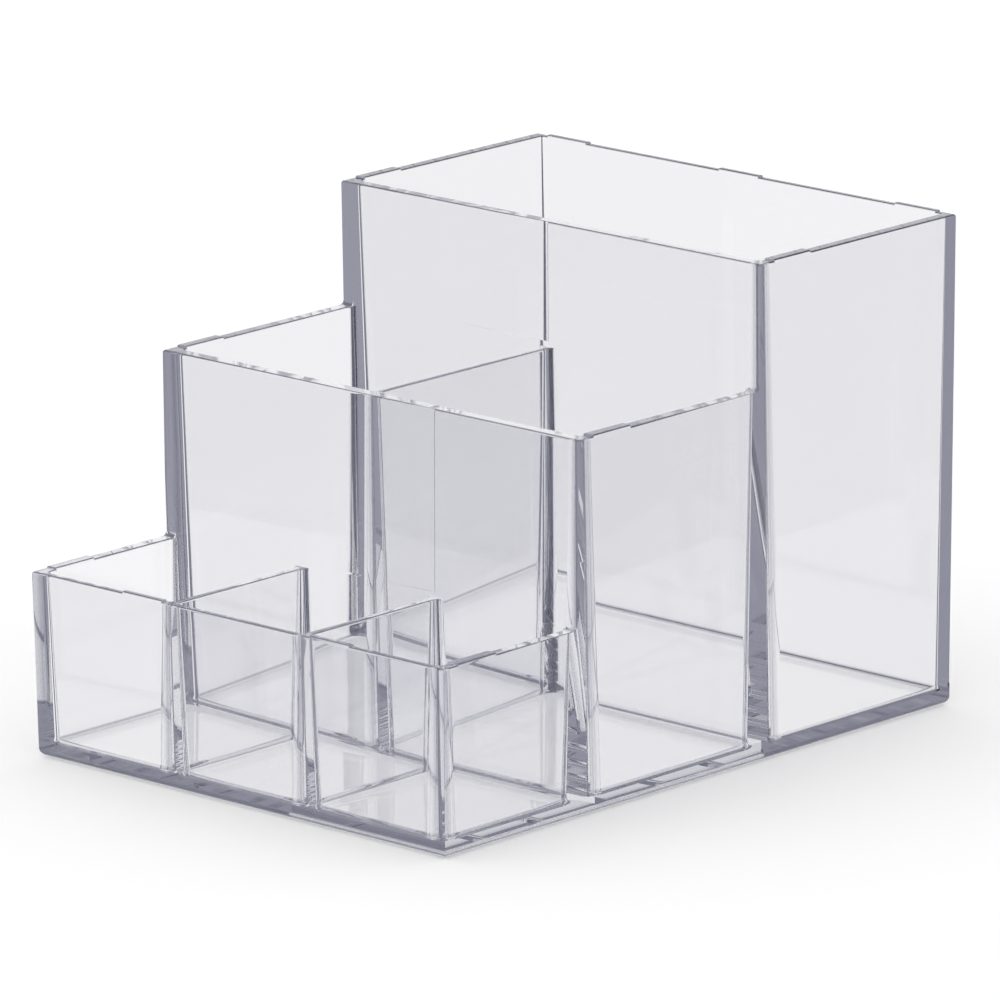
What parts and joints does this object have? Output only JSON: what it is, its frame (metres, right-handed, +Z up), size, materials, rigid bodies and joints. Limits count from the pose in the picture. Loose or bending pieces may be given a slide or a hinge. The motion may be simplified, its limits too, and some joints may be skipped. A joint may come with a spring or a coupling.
{
  "type": "stepped desktop brush holder",
  "caption": "Clear moulded holder with open-topped cells in tiers that rise from front to back, for standing make-up brushes, pencils and small bottles upright.",
  "frame": {"origin": "on the standing surface, under the middle of the holder's outline", "axes": "+X to the right, +Y from the front tier to the tall back tier, +Z up"},
  "size_m": [0.0954, 0.1254, 0.0858],
  "materials": {
    "clear_plastic": "clear polystyrene with a polished mould finish"
  },
  "bodies": {
    "root": {"base_plate": "clear_plastic", "left_side_wall": "clear_plastic", "right_side_wall": "clear_plastic", "front_wall": "clear_plastic", "middle_front_wall": "clear_plastic", "tall_front_wall": "clear_plastic", "back_wall": "clear_plastic", "front_divider_left": "clear_plastic", "front_divider_right": "clear_plastic", "middle_divider": "clear_plastic"}
  },
  "joints": []
}
